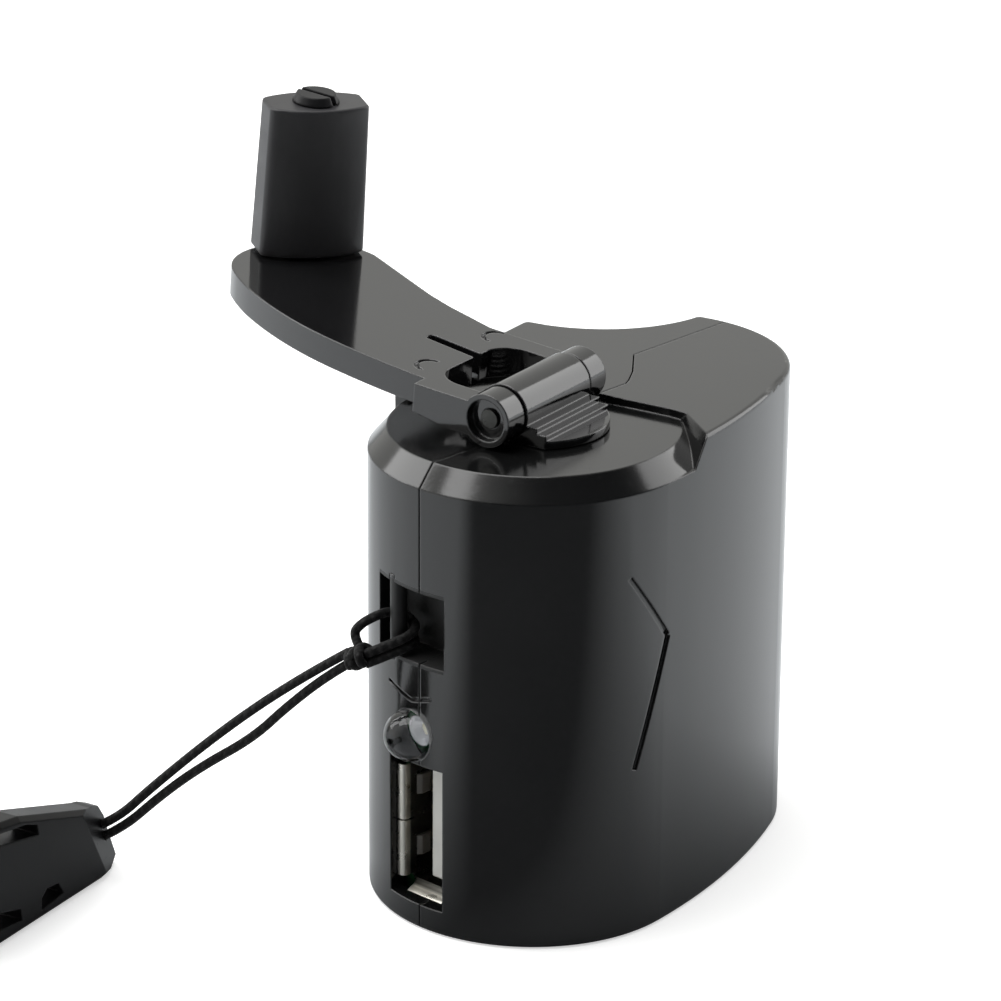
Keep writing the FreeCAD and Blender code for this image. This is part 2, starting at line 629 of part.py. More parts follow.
plate_shape = body_prism("plate_shape", P["wall"] + 0.2, "$plate_z", "$plate_t")
plate_zone = box("plate_zone", -9.5, -20, "$plate_z - 0.4", 37.0, 40, 3)
plate_low = "$plate_z - 1.4"
plate_body = common("plate_body", plate_shape, plate_zone)
plate_holes = [
    cyl("plate_hole_motor", "z", M[0], M[1], plate_low, 3.0, 5),
    cyl("plate_hole_1", "z", C1[0], C1[1], plate_low, "$axle_r", 5),
    cyl("plate_hole_2", "z", C2[0], C2[1], plate_low, "$axle_r", 5),
]
for i, dx in enumerate((-6, 6)):
    plate_holes.append(cyl("plate_screw_%d" % i, "z", M[0] + dx, M[1], plate_low, 0.8, 5))
    plate_holes.append(cyl("plate_sink_%d" % i, "z", M[0] + dx, M[1], "$plate_z + 0.8", 1.4, 2))
nodes["gear_plate"] = cut("gear_plate", plate_body, plate_holes)

# ---------------------------------------------------------------- motor
can_low = P["can_z"]
can_top = P["plate_z"]


def flat_sided(name, r, flat, z, h):
    """A round bar with two flats across Y."""
    bar = cyl(name + "_bar", "z", M[0], M[1], z, r, h)
    slab = box(name + "_slab", M[0] - r - 1, M[1] - flat, z, 2 * r + 2, 2 * flat, h)
    return common(name, bar, slab)


can_out = flat_sided("can_out", 10.0, 7.5, can_low, can_top - can_low)
can_in = flat_sided("can_in", 9.2, 6.7, can_low - 1, can_top - can_low + 0.2)
can_boss = cyl("can_boss", "z", M[0], M[1], can_top - 0.4, 2.95, 1.2)
can_holes = [cyl("can_shaft_hole", "z", M[0], M[1], can_top - 3.4, 1.0 + P["fit"], 8)]
for i, dx in enumerate((-6, 6)):
    can_holes.append(cyl("can_screw_hole_%d" % i, "z", M[0] + dx, M[1], can_top - 2.4, 0.8, 4))
nodes["motor_can"] = cut("motor_can", fuse("can_solid", [cut("can_shell", can_out, can_in), can_boss]), can_holes)
nodes["motor_screws"] = group("motor_screws", [
    fuse("motor_screw_%d" % i, [
        cyl("motor_screw_shank_%d" % i, "z", M[0] + dx, M[1], plate_low, 0.8, 2.5),
        cyl("motor_screw_head_%d" % i, "z", M[0] + dx, M[1], "$plate_z + 0.8", 1.4, 0.7)])
    for i, dx in enumerate((-6, 6))])
cap_body = flat_sided("cap_body", 10.0, 7.5, can_low - 2.0, 2.0)
cap_plug = flat_sided("cap_plug", 9.2, 6.7, can_low - 0.5, 1.5)
cap_hole = cyl("cap_hole", "z", M[0], M[1], can_low - 0.8, 1.0 + P["fit"], 5)
nodes["motor_end_cap"] = cut("motor_end_cap", fuse("cap_solid", [cap_body, cap_plug]), cap_hole)
nodes["motor_terminals"] = group("motor_terminals", [
    box("terminal_%d" % i, M[0] - 4.6, M[1] + dy - 0.25, can_low - 3.7, 1.6, 0.5, 1.7)
    for i, dy in enumerate((-3.4, 3.4))])
magnet_h = can_top - can_low - 8.5
magnet_ring = cut(
    "magnet_ring",
    cyl("magnet_out", "z", M[0], M[1], can_low + 3.6, 9.15, magnet_h),
    cyl("magnet_in", "z", M[0], M[1], can_low + 2.6, 7.2, magnet_h + 2))
magnets = []
for i, side in enumerate((-1, 1)):
    zone_x = M[0] if side > 0 else M[0] - 10
    slab = box("magnet_zone_%d" % i, zone_x, M[1] - 4.8, can_low + 2.6, 10, 9.6, magnet_h + 2)
    magnets.append(common("magnet_%d" % i, magnet_ring, slab))
nodes["motor_magnets"] = group("motor_magnets", magnets)
core_low = can_low + 2.6
core = cyl("core_bar", "z", M[0], M[1], can_low + 4.1, 6.2, magnet_h - 1)
slots = []
for i in range(3):
    slot = box("core_slot_%d" % i, 0, 0, 0, 2.8, 1.6, magnet_h + 3)
    a = 120 * i + 20
    out, side = Vector(*unit(a), 0), Vector(*unit(a + 90), 0)
    slot.Placement = Placement(Vector(M[0], M[1], core_low) + out * 3.6 - side * 0.8, Rotation(Vector(0, 0, 1), a))
    slots.append(slot)
core_bore = cyl("core_bore", "z", M[0], M[1], core_low, 1.0, magnet_h + 3)
nodes["rotor_core"] = cut("rotor_core", core, slots + [core_bore])
shaft_low = can_low - 0.7
nodes["rotor_shaft"] = cyl("rotor_shaft", "z", M[0], M[1], shaft_low, 1.0, P["wheel2_z"] + 2.7 - shaft_low)
nodes["commutator"] = cut(
    "commutator",
    cyl("commutator_bar", "z", M[0], M[1], can_low + 1.2, 2.4, 2.8),
    cyl("commutator_bore", "z", M[0], M[1], can_low + 0.6, 1.0, 5))
motor_teeth = gear("motor_teeth", TEETH["motor"], ph_m, M, "$wheel2_z - 0.2", "$wheel_w + 0.7")
motor_bore = cyl("motor_pinion_bore", "z", M[0], M[1], "$wheel2_z - 0.6", 1.0, "$wheel_w + 2")
nodes["motor_pinion"] = cut("motor_pinion", motor_teeth, motor_bore)

# ---------------------------------------------------------------- arm, knob
ARM_PLACE = (
    "placement(vector(0; 0; $pin_z); rotation(vector(0; 0; 1); $crank_turn))"
    " * placement(vector(0; 0; 0); rotation(vector(1; 0; 0); $arm_tilt))")


def tilt(obj):
    """Seat a piece that was drawn flat about the pin onto the raised arm."""
    obj.setExpression("Placement", on_sheet(ARM_PLACE))
    return obj


half_t = P["arm_t"] / 2
arm_plate = prism(
    "arm_plate", (-8.2, 0.0), [
        ("L", (-8.2, 1.6)),
        ("L", (-6.56, 7.4)),
        ("A", (-5.95, 13.4), (-5.13, 18.6)),
        ("A", (-3.4, 25.4), (0.1, 33.2)),
        ("A", (1.54, 35.4), (3.3, 37.6)),
        ("A", (8.4, 39.6), (13.4, 37.2)),
        ("A", (16.2, 33.8), (16.2, 29.7)),
        ("A", (13.9, 25.0), (11.35, 19.8)),
        ("L", (10.1, 16.6)),
        ("L", (8.3, 10.7)),
        ("L", (8.2, 5.0)),
        ("L", (8.2, 0.0)),
        ("L", (-8.2, 0.0)),
    ], -half_t, "$arm_t")
fork_room = prism(
    "fork_room", (-5.55, -4.0), [
        ("L", (5.55, -4.0)),
        ("L", (5.9, 4.4)),
        ("A", (5.2, 6.6), (3.2, 7.7)),
        ("L", (-2.6, 7.7)),
        ("A", (-4.7, 6.9), (-5.55, 4.8)),
        ("L", (-5.55, -4.0)),
    ], -4, 8)
arm_slot = prism(
    "arm_slot", (0.9, 7.0), [
        ("L", (2.1, 7.0)),
        ("L", (2.9, 13.0)),
        ("A", (2.5, 13.8), (1.8, 13.2)),
        ("L", (0.9, 7.0)),
    ], -4, 8)
prong_bits = []
for side, name in ((-1, "near"), (1, "far")):
    x0 = P["ear_in"] if side > 0 else -P["ear_out"]
    w = P["ear_out"] - P["ear_in"]
    prong_bits.append(cyl("ear_" + name, "x", x0, 0, 0, "$ear_r", w))
    side_view = poly("prong_%s_view" % name, [
        (0, -1.9), (5.0, -1.9), (8.0, -half_t), (8.0, half_t), (0, half_t)])
    side_view.Placement = Placement(Vector(x0, 0, 0), ACROSS)
    prong_bits.append(extrude("prong_" + name, side_view, w, (1, 0, 0)))
arm_solid = fuse("arm_solid", [arm_plate] + prong_bits)
arm_cuts = [
    fork_room,
    arm_slot,
    cyl("ear_bore", "x", -9, 0, 0, "$pin_r", 18),
    cyl("ear_recess", "x", -9, 0, 0, 2.0, 9 - 7.3),
    cyl("stud_hole", "z", KNOB_AT[0], KNOB_AT[1], -3, 1.2, 6),
]
for i, (mx, my) in enumerate(((-3.6, 9.4), (6.75, 8.9))):
    mark_ring = cut(
        "arm_mark_ring_%d" % i,
        cyl("arm_mark_out_%d" % i, "z", mx, my, half_t - 0.25, 1.5, 1),
        cyl("arm_mark_in_%d" % i, "z", mx, my, 0, 1.1, 3))
    half = box("arm_mark_zone_%d" % i, mx - 2, my, 0, 4, 2, 3)
    arm_cuts.append(common("arm_mark_%d" % i, mark_ring, half))
nodes["crank_arm"] = tilt(cut("crank_arm", arm_solid, arm_cuts))

pin_bar = cyl("pin_bar", "x", -7.6, 0, 0, "$pin_r", "$ear_out + 7.8")
pin_head = cyl("pin_head", "x", "$ear_out", 0, 0, 1.35, 0.55)
nodes["hinge_pin"] = tilt(fuse("hinge_pin", [pin_bar, pin_head]))

knob_low = half_t + 0.25
knob_top = knob_low + P["knob_h"]
stud_foot = cyl("stud_foot", "z", KNOB_AT[0], KNOB_AT[1], -half_t, 1.2, "$arm_t")
stud_bar = cyl("stud_bar", "z", KNOB_AT[0], KNOB_AT[1], half_t, "$stud_r", "0.25 + $knob_h + 0.2")
stud_head = doc.addObject("Part::Cone", "stud_head")
stud_head.Radius1 = 2.3
stud_head.Radius2 = 1.9
stud_head.Height = 0.8
place(stud_head, KNOB_AT[0], KNOB_AT[1], knob_top + 0.1)
stud_split = box("stud_split", KNOB_AT[0] - 0.3, KNOB_AT[1] - 3, knob_top - 3, 0.6, 6, 5)
nodes["knob_stud"] = tilt(cut("knob_stud", fuse("stud_solid", [stud_foot, stud_bar, stud_head]), stud_split))


def lens(name, z, scale):
    """Grip section: two flat arcs and two narrow ends."""
    w, e, r = 5.3 * scale, 2.1 * scale, 12.0
    s = r - math.sqrt(r * r - w * w)
    c, n = unit(KNOB_TURN), unit(KNOB_TURN + 90)

    def at(a, b):
        return (KNOB_AT[0] + a * c[0] + b * n[0], KNOB_AT[1] + a * c[1] + b * n[1])

    k = 0.35
    sketch = profile(name, at(-w, -e + k), [
        ("L", at(-w, e - k)),
        ("L", at(-w + k, e)),
        ("A", at(0, e + s), at(w - k, e)),
        ("L", at(w, e - k)),
        ("L", at(w, -e + k)),
        ("L", at(w - k, -e)),
        ("A", at(0, -e - s), at(-w + k, -e)),
        ("L", at(-w, -e + k)),
    ])
    sketch.Placement = Placement(Vector(0, 0, z), Rotation())
    return sketch


knob_loft = doc.addObject("Part::Loft", "knob_loft")
knob_loft.Sections = [lens("knob_base", knob_low, 1.0), lens("knob_crown", knob_top, 0.94)]
knob_loft.Solid = True
knob_loft.Ruled = True
knob_bore = cyl("knob_bore", "z", KNOB_AT[0], KNOB_AT[1], 0, "$stud_r + $fit", 20)
nodes["knob"] = tilt(cut("knob", knob_loft, knob_bore))

# ---------------------------------------------------------------- port
usb_lip = box("usb_lip", -14.75, "$usb_y - 3.45", "$usb_z - 7.1", 0.5, 6.9, 14.2)
usb_tube = box("usb_tube", -14.5, "$usb_y - 2.85", "$usb_z - 6.55", 13.75, 5.7, 13.1)
usb_bore = box("usb_bore", -16, "$usb_y - 2.55", "$usb_z - 6.25", 14.95, 5.1, 12.5)
usb_cuts = [usb_bore]
for i, (zc, yc) in enumerate(((6.5, 1), (12.8, 1), (6.5, -1), (12.8, -1))):
    y = P["usb_y"] + (2.2 if yc > 0 else -3.2)
    usb_cuts.append(box("usb_window_%d" % i, -9.0, y, zc - 1.1, 3.0, 1.0, 2.2))
nodes["usb_shell"] = cut("usb_shell", fuse("usb_solid", [usb_lip, usb_tube]), usb_cuts)
tongue = box("tongue_bar", -13.6, -1.25, 4.55, 11.6, 1.75, 11.3)
tongue_base = box("tongue_base", -3.2, "$usb_y - 2.55", "$usb_z - 6.25", 2.15, 5.1, 12.5)
contact_z = [10.2 - 3.5, 10.2 - 1.0, 10.2 + 1.0, 10.2 + 3.5]
contact_room = [box("contact_room_%d" % i, -13.0, 0.38, z - 0.6, 9.9, 1.0, 1.2) for i, z in enumerate(contact_z)]
nodes["usb_tongue"] = cut("usb_tongue", fuse("tongue_solid", [tongue, tongue_base]), contact_room)
nodes["usb_contacts"] = group("usb_contacts", [
    box("contact_%d" % i, -13.0, 0.38, z - 0.6, 9.8, 0.24, 1.2) for i, z in enumerate(contact_z)])

# ---------------------------------------------------------------- lamp
led_bar = cyl("led_bar", "x", "$led_x", "$led_y", "$led_z", "$led_r", 3.2)
led_dome = ball("led_dome", "$led_x", "$led_y", "$led_z", "$led_r")
led_rim = cyl("led_rim", "x", -13.2, "$led_y", "$led_z", 2.85, 1.0)
nodes["led_lens"] = fuse("led_lens", [led_bar, led_dome, led_rim])
nodes["led_leads"] = group("led_leads", [
    tube("led_lead_%d" % i, [(-12.2, P["led_y"], P["led_z"] + dz), (-9.0, P["led_y"], P["led_z"] + dz), (-9.0, 3.6, P["led_z"] + dz)], 0.25)
    for i, dz in enumerate((-1.27, 1.27))])

# ---------------------------------------------------------------- board
nodes["circuit_board"] = box("circuit_board", -12.2, 3.6, "$floor_t", 13.2, 1.2, 21.2)
cap_can = cyl("capacitor_can", "y", -4.5, 4.8, 8.5, 2.5, 6.0)
cap_score = [
    box("capacitor_score_a", -6.2, 10.65, 8.4, 3.4, 0.5, 0.2),
    box("capacitor_score_b", -4.6, 10.65, 6.8, 0.2, 0.5, 3.4),
]
nodes["capacitor"] = cut("capacitor", cap_can, cap_score)
chip_body = box("chip_body", -10.4, 4.95, 14.6, 4.0, 1.4, 5.0)
chip_legs = [box("chip_leg_%d" % i, -11.0 + 4.6 * (i % 2), 4.8, 15.0 + 1.27 * (i // 2), 0.6, 0.6, 0.4) for i in range(8)]
nodes["regulator_chip"] = fuse("regulator_chip", [chip_body] + chip_legs)
nodes["diodes"] = group("diodes", [
    box("diode_%d" % i, -3.6 + 2.3 * (i % 2), 4.8, 14.0 + 4.2 * (i // 2), 1.4, 1.1, 3.0) for i in range(4)])
nodes["motor_wires"] = group("motor_wires", [
    tube("wire_%d" % i, pts, 0.4) for i, pts in enumerate((
        [(M[0] - 4.2, M[1] - 3.65, 3.3), (M[0] - 4.2, M[1] - 4.6, 3.3), (3.4, M[1] - 4.6, 3.3), (3.4, 4.2, 6.2), (1.0, 4.2, 6.2)],
        [(M[0] - 4.2, M[1] + 3.65, 3.3), (M[0] - 4.2, 6.2, 3.3), (3.2, 6.2, 3.3), (2.6, 4.2, 4.4), (1.0, 4.2, 4.4)]))])

# ---------------------------------------------------------------- lanyard
nodes["lanyard_bar"] = cyl("lanyard_bar", "z", "$bar_x", "$bar_y", "$pocket_z - 0.7", "$bar_r", "$pocket_h + 1.4")


def cord_wire(points):
    """Straight runs joined by tangent arcs, with the radii it used."""
    pts = [Vector(*p) for p in points]
    runs = [(b - a).Length for a, b in zip(pts[:-1], pts[1:])]
    edges, radii = [], []
    start = pts[0]
    for i in range(1, len(pts) - 1):
        u = (pts[i] - pts[i - 1]).normalize()
        v = (pts[i + 1] - pts[i]).normalize()
        turn = u.getAngle(v)
        back = 0.45 * min(runs[i - 1], runs[i])
        radius = back / math.tan(turn / 2)
        a = pts[i] - u * back
        b = pts[i] + v * back
        inward = (v - u).normalize()
        centre = pts[i] + inward * (radius / math.cos(turn / 2))
        m = centre - inward * radius
        edges.append(Part.LineSegment(start, a).toShape())
        edges.append(Part.Arc(a, m, b).toShape())
        radii.append(round(radius, 2))
        start = b
    edges.append(Part.LineSegment(start, pts[-1]).toShape())
    return Part.Wire(edges), radii


def cord(name, points, r):
    wire, radii = cord_wire(points)
    tangent = (Vector(*points[1]) - Vector(*points[0])).normalize()
    section = Part.Wire(Part.makeCircle(r, Vector(*points[0]), tangent))
    pipe = wire.makePipeShell([section], True, True)
    obj = doc.addObject("Part::Feature", name)
    obj.Shape = pipe
    print(name, "radii", radii, "volume", round(pipe.Volume, 2), "section x length", round(math.pi * r * r * wire.Length, 2))
    return obj


# two strands from the knot to the clip, and a hitch round the bar
CORDS = {
    "cord_strand_a": [
        (-18.1, 6.45, 27.1), (-19.14, 9.65, 24.77), (-21.31, 15.34, 20.06), (-23.41, 20.86, 14.82),
        (-25.42, 26.13, 9.35), (-26.61, 29.24, 5.83), (-27.45, 31.4, 4.5)],
    "cord_strand_b": [
        (-18.0, 6.3, 26.1), (-18.9, 8.6, 24.3), (-20.22, 12.47, 20.51), (-21.5, 15.85, 16.64),
        (-23.44, 20.93, 12.75), (-24.96, 24.92, 9.04), (-26.56, 29.1, 4.51), (-27.6, 31.9, 2.9)],
    "cord_hitch_a": [
        (-17.6, 5.4, 27.6), (-17.4, 6.7, 28.6), (-17.0, 5.9, 29.8), (-15.7, 5.2, 30.4), (-13.9, 5.25, 30.3),
        (-12.8, 4.0, 29.9), (-13.2, 2.4, 29.4), (-14.5, 2.0, 28.95), (-16.4, 3.3, 28.1), (-17.7, 4.7, 27.3)],
    "cord_hitch_b": [
        (-12.75, 3.9, 28.2), (-13.2, 2.4, 28.1), (-14.5, 2.0, 27.95), (-16.4, 3.3, 27.1), (-17.7, 4.7, 26.3)],
}
cords = {}
for name, points in CORDS.items():
    cords[name] = cord(name, points, P["cord_r"])
    nodes[name] = cords[name]
knot_ball = doc.addObject("Part::Ellipsoid", "knot_ball")
knot_ball.Radius1 = 1.55
knot_ball.Radius2 = 1.3
knot_ball.Radius3 = 1.25
knot_ball.Placement = Placement(Vector(-17.95, 5.35, 26.9), Rotation())
nodes["cord_knot"] = cut("cord_knot", knot_ball, list(cords.values()))

# ---------------------------------------------------------------- clip
# drawn flat, face up, then stood on its long edge
CLIP_ALONG = Vector(-16.5, -3.6, 0).normalize()
CLIP_UP = Vector(0, 0, 1)
clip_place = Placement(
    Vector(-28.5, 29.2, 0),
    Rotation(CLIP_ALONG, CLIP_UP, CLIP_ALONG.cross(CLIP_UP), "XYZ"))


def stand(obj):
    obj.Placement = clip_place
    return obj


clip_blank = polyprism("clip_blank", [
    (-3.7, 0.8), (0.0, 0.0), (19.0, 0.0), (19.0, 12.5), (16.0, 12.2), (13.0, 11.7),
    (1.2, 7.8), (0.3, 7.6), (-1.2, 6.9), (-2.3, 5.4), (-2.6, 4.0)], 0, "$clip_t")
doc.recompute()
face_edges = edges_where(clip_blank.Shape, lambda e: max(v.Z for v in e.Vertexes) < 0.01)
clip_edged = doc.addObject("Part::Chamfer", "clip_edged")
clip_edged.Base = clip_blank
clip_edged.Edges = [(i, 0.5, 0.5) for i in face_edges]
# the face falls away towards the cord end
fall = Vector(-3.8, -7.9, 0).normalize()
outward = Vector(fall.y, -fall.x, 0) * math.cos(math.radians(23)) + Vector(0, 0, math.sin(math.radians(23)))
facet = box("clip_facet", 0, 0, 0, 22, 12, 8)
facet.Placement = Placement(
    Vector(3.6, 8.5, 0) - fall * 6,
    Rotation(fall, outward, fall.cross(outward), "XYZ"))
clip_cuts = [
    facet,
    polyprism("clip_window_top", [(10.4, 8.9), (10.6, 10.0), (12.4, 10.7), (17.4, 11.5), (17.4, 10.4)], -1, 7),
    polyprism("clip_window_low", [(13.4, 1.3), (13.6, 2.5), (17.4, 3.6), (17.4, 1.7)], -1, 7),
    polyprism("clip_window_end", [(6.8, 1.4), (7.6, 2.7), (9.4, 2.9), (10.3, 2.2), (10.3, 1.0)], -1, 7),
    box("clip_pocket", 12.0, 4.2, 0.7, 8, 4.4, 1.6),
]
clip_shell = stand(cut("clip_shell", clip_edged, clip_cuts))
nodes["clip_body"] = cut("clip_body", clip_shell, [cords["cord_strand_a"], cords["cord_strand_b"]])
insert_tail = box("insert_tail", 19.05, 3.0, 0.25, 5.4, 6.6, 2.5)
insert_tongue = box("insert_tongue", 12.4, 4.25, 0.75, 8.0, 4.3, 1.5)
insert_slot = box("insert_slot", 22.0, 3.7, -0.5, 1.3, 5.2, 4)
nodes["clip_insert"] = stand(cut("clip_insert", fuse("insert_solid", [insert_tail, insert_tongue]), insert_slot))

for name, obj in nodes.items():
    obj.Label = name
doc.recompute()

problems = []
for obj in doc.Objects:
    if any(word in obj.State for word in ("Invalid", "Error")):
        problems.append("%s is %s" % (obj.Name, obj.State))
for name, obj in nodes.items():
    shape = obj.Shape
    if shape.isNull() or not shape.isValid() or not shape.Solids:
        problems.append("%s has no valid solid" % name)
if problems:
    raise RuntimeError("; ".join(problems))
for name, obj in nodes.items():
    obj.Shape.exportStep("parts/%s.step" % name)
    print("%-16s solids %d volume %9.2f" % (name, len(obj.Shape.Solids), obj.Shape.Volume))
print("nodes", len(nodes))
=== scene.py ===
import json
import math

import bmesh
import bpy
from mathutils import Matrix, Vector


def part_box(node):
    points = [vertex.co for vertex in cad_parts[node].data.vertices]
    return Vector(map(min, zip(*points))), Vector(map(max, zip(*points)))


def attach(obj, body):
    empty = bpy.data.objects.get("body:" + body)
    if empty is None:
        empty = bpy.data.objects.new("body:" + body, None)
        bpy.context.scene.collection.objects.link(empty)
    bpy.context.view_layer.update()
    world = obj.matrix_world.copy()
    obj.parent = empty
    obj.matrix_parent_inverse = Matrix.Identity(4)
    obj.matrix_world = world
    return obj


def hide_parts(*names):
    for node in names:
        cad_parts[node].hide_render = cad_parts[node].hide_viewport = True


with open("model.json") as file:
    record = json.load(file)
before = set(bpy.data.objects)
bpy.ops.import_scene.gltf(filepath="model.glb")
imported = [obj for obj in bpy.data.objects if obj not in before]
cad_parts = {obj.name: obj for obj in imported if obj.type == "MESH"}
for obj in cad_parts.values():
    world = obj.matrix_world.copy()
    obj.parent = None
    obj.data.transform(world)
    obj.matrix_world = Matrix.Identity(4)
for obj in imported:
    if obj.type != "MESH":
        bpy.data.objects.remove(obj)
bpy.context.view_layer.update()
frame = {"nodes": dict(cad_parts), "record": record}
nodes = frame["nodes"]
MM = 0.001

# ---------------------------------------------------------------- camera
# fitted to the photo's edges: where it stands, how it is turned in degrees, and its lens
CAMERA_AT = Vector((-0.28999, -0.26291, 0.18919))
AZIMUTH, ELEVATION, ROLL = -47.349, 21.025, 0.372
LENS_MM, SENSOR_MM = 161.84, 36.0


def camera():
    a, e, r = (math.radians(v) for v in (AZIMUTH, ELEVATION, ROLL))
    back = Vector((math.sin(a) * math.cos(e), -math.cos(a) * math.cos(e), math.sin(e)))
    right = Vector((math.cos(a), math.sin(a), 0))
    up = back.cross(right)
    right_r = right * math.cos(r) + up * math.sin(r)
    up_r = up * math.cos(r) - right * math.sin(r)
    data = bpy.data.cameras.new("camera")
    data.lens = LENS_MM
    data.sensor_width = SENSOR_MM
    data.clip_start = 0.01
    obj = bpy.data.objects.new("camera", data)
    turn = Matrix((right_r, up_r, back)).transposed().to_4x4()
    obj.matrix_world = Matrix.Translation(CAMERA_AT) @ turn
    bpy.context.collection.objects.link(obj)
    bpy.context.scene.camera = obj


camera()


# ---------------------------------------------------------------- materials
class Graph:
    """A short way to write a node material."""

    def __init__(self, name):
        self.mat = bpy.data.materials.new(name)
        self.mat.use_nodes = True
        self.tree = self.mat.node_tree
        self.tree.nodes.clear()
        self.out = self.node("ShaderNodeOutputMaterial")
        self.shader = self.node("ShaderNodeBsdfPrincipled")
        self.link(self.shader.outputs["BSDF"], self.out.inputs["Surface"])
        self.place = self.node("ShaderNodeTexCoord").outputs["Object"]

    def node(self, kind, **props):
        n = self.tree.nodes.new(kind)
        for key, value in props.items():
            setattr(n, key, value)
        return n

    def link(self, a, b):
        self.tree.links.new(a, b)

    def stretch(self, scale):
        m = self.node("ShaderNodeMapping")
        m.inputs["Scale"].default_value = scale
        self.link(self.place, m.inputs["Vector"])
        return m.outputs["Vector"]

    def noise(self, scale, detail=3.0, rough=0.55, vector=None):
        n = self.node("ShaderNodeTexNoise")
        n.inputs["Scale"].default_value = scale
        n.inputs["Detail"].default_value = detail
        n.inputs["Roughness"].default_value = rough
        self.link(vector or self.place, n.inputs["Vector"])
        return n.outputs["Fac"]

    def ranged(self, value, low, high, to_low, to_high):
        n = self.node("ShaderNodeMapRange")
        for key, v in (("From Min", low), ("From Max", high), ("To Min", to_low), ("To Max", to_high)):
            n.inputs[key].default_value = v
        self.link(value, n.inputs["Value"])
        return n.outputs["Result"]

    def mix(self, factor, a, b):
        n = self.node("ShaderNodeMix", data_type="RGBA")
        self.link(factor, n.inputs["Factor"])
        for sock, value in ((n.inputs["A"], a), (n.inputs["B"], b)):
            if isinstance(value, tuple):
                sock.default_value = (*value, 1.0)
            else:
                self.link(value, sock)
        return n.outputs["Result"]

    def math(self, operation, *values):
        """Each value is a socket to link, or a number to write on the socket."""
        n = self.node("ShaderNodeMath", operation=operation)
        for sock, value in zip(n.inputs, values):
            if isinstance(value, (int, float)):
                sock.default_value = value
            else:
                self.link(value, sock)
        return n.outputs[0]

    def times(self, a, b):
        return self.math("MULTIPLY", a, b)

    def axes(self, vector=None):
        parts = self.node("ShaderNodeSeparateXYZ")
        self.link(vector or self.place, parts.inputs[0])
        return parts.outputs

    def pick(self, ray, other):
        """Rays of the given kind see the other shader, and the rest what was there."""
        path = self.node("ShaderNodeLightPath")
        mix = self.node("ShaderNodeMixShader")
        self.link(path.outputs[ray], mix.inputs["Fac"])
        self.link(self.out.inputs["Surface"].links[0].from_socket, mix.inputs[1])
        self.link(other.outputs[0], mix.inputs[2])
        self.link(mix.outputs[0], self.out.inputs["Surface"])

    def within(self, low, high):
        """1 inside a box of the part's own frame, given in mm, 0 outside."""
        middle = tuple((a + b) / 2000.0 for a, b in zip(low, high))
        half = tuple((b - a) / 2000.0 for a, b in zip(low, high))
        value = self.place
        for operation, by in (("SUBTRACT", middle), ("ABSOLUTE", None), ("DIVIDE", half)):
            n = self.node("ShaderNodeVectorMath", operation=operation)
            self.link(value, n.inputs[0])
            if by:
                n.inputs[1].default_value = by
            value = n.outputs[0]
        x, y, z = self.axes(value)
        most = self.math("MAXIMUM", self.math("MAXIMUM", x, y), z)
        return self.ranged(most, 0.99, 1.01, 1.0, 0.0)

    def edges(self, radius, low=0.02, high=0.25):
        """1 on worn outer edges, 0 on faces."""
        bevel = self.node("ShaderNodeBevel", samples=4)
        bevel.inputs["Radius"].default_value = radius
        geo = self.node("ShaderNodeNewGeometry")
        dot = self.node("ShaderNodeVectorMath", operation="DOT_PRODUCT")
        self.link(bevel.outputs["Normal"], dot.inputs[0])
        self.link(geo.outputs["Normal"], dot.inputs[1])
        return self.ranged(dot.outputs["Value"], 1.0 - low, 1.0 - high, 0.0, 1.0)

    def bump(self, height, distance, strength=1.0, normal=None):
        n = self.node("ShaderNodeBump")
        n.inputs["Distance"].default_value = distance
        n.inputs["Strength"].default_value = strength
        self.link(height, n.inputs["Height"])
        if normal is not None:
            self.link(normal, n.inputs["Normal"])
        return n.outputs["Normal"]

    def rounded(self, radius):
        n = self.node("ShaderNodeBevel", samples=6)
        n.inputs["Radius"].default_value = radius
        return n.outputs["Normal"]

    def set(self, **values):
        for key, value in values.items():
            sock = self.shader.inputs[key.replace("_", " ")]
            if isinstance(value, (int, float)):
                sock.default_value = value
            elif isinstance(value, tuple):
                sock.default_value = (*value, 1.0) if len(value) == 3 else value
            else:
                self.link(value, sock)
        return self.mat


HOLLOW_DULL = 0.4  # how much rougher a plastic is inside its hollow box


def plastic(
        name, base, rough, grain=0.000004, grain_scale=4200.0, worn=1.6, edge=0.00025, spread=0.07,
        ior=1.5, hollow=None):
    """Moulded plastic: cloudy tone, smears in the gloss, fine grain, rubbed edges, duller in its hollow."""
    g = Graph(name)
    tone = g.noise(55.0, 4.0)
    darker = tuple(c * 0.82 for c in base)
    lighter = tuple(min(1.0, c * 1.18 + 0.001) for c in base)
    colour = g.mix(g.ranged(tone, 0.35, 0.65, 0.0, 1.0), darker, lighter)
    rubbed = g.times(g.edges(edge), g.ranged(g.noise(420.0, 5.0), 0.42, 0.66, 0.0, 0.85))
    edge_colour = tuple(min(1.0, c * worn + 0.02) for c in base)
    colour = g.mix(rubbed, colour, edge_colour)
    smear = g.noise(1.0, 4.0, 0.6, g.stretch((38.0, 38.0, 120.0)))
    speck = g.ranged(g.noise(2600.0, 2.0), 0.66, 0.76, 0.0, 0.12)
    gloss = g.ranged(smear, 0.32, 0.68, rough - spread * 0.6, rough + spread)
    gloss = g.math("ADD", gloss, speck)
    if hollow:
        gloss = g.math("MULTIPLY_ADD", g.within(*hollow), HOLLOW_DULL, gloss)
    normal = g.bump(g.noise(grain_scale, 2.0), grain, 0.6, g.rounded(edge))
    return g.set(Base_Color=colour, Roughness=gloss, Normal=normal, IOR=ior)


PORT_SHADE_SOFT, PORT_SHADE_DARK = 0.00012, 0.14  # how softly a metal goes dark past the X where its painted shade starts, and how dark that painted shade is
